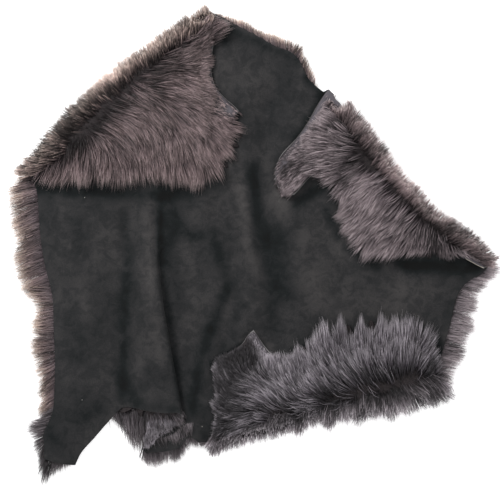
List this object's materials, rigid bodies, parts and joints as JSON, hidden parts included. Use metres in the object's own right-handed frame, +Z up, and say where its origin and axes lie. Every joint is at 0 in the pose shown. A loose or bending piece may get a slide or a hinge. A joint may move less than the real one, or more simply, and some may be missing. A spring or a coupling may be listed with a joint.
{
  "type": "sheepskin",
  "caption": "Long-wool sheepskin laid out wool side down, suede side up, with edges turned over to show the wool and a pleat in the lower part.",
  "frame": {"origin": "centre of the bounding box in plan, at the level of the surface that the fleece rests on", "axes": "+Z up, out of the leather side of the part that lies flat; seen from above with +Y away from the viewer, the leg is at the lower left and the long turned edge at the lower right"},
  "size_m": [0.9708, 0.9424, 0.0621],
  "materials": {
    "suede": "matte",
    "wool": "matte"
  },
  "bodies": {
    "root": {"skin": "suede", "fleece": "wool"}
  },
  "joints": []
}
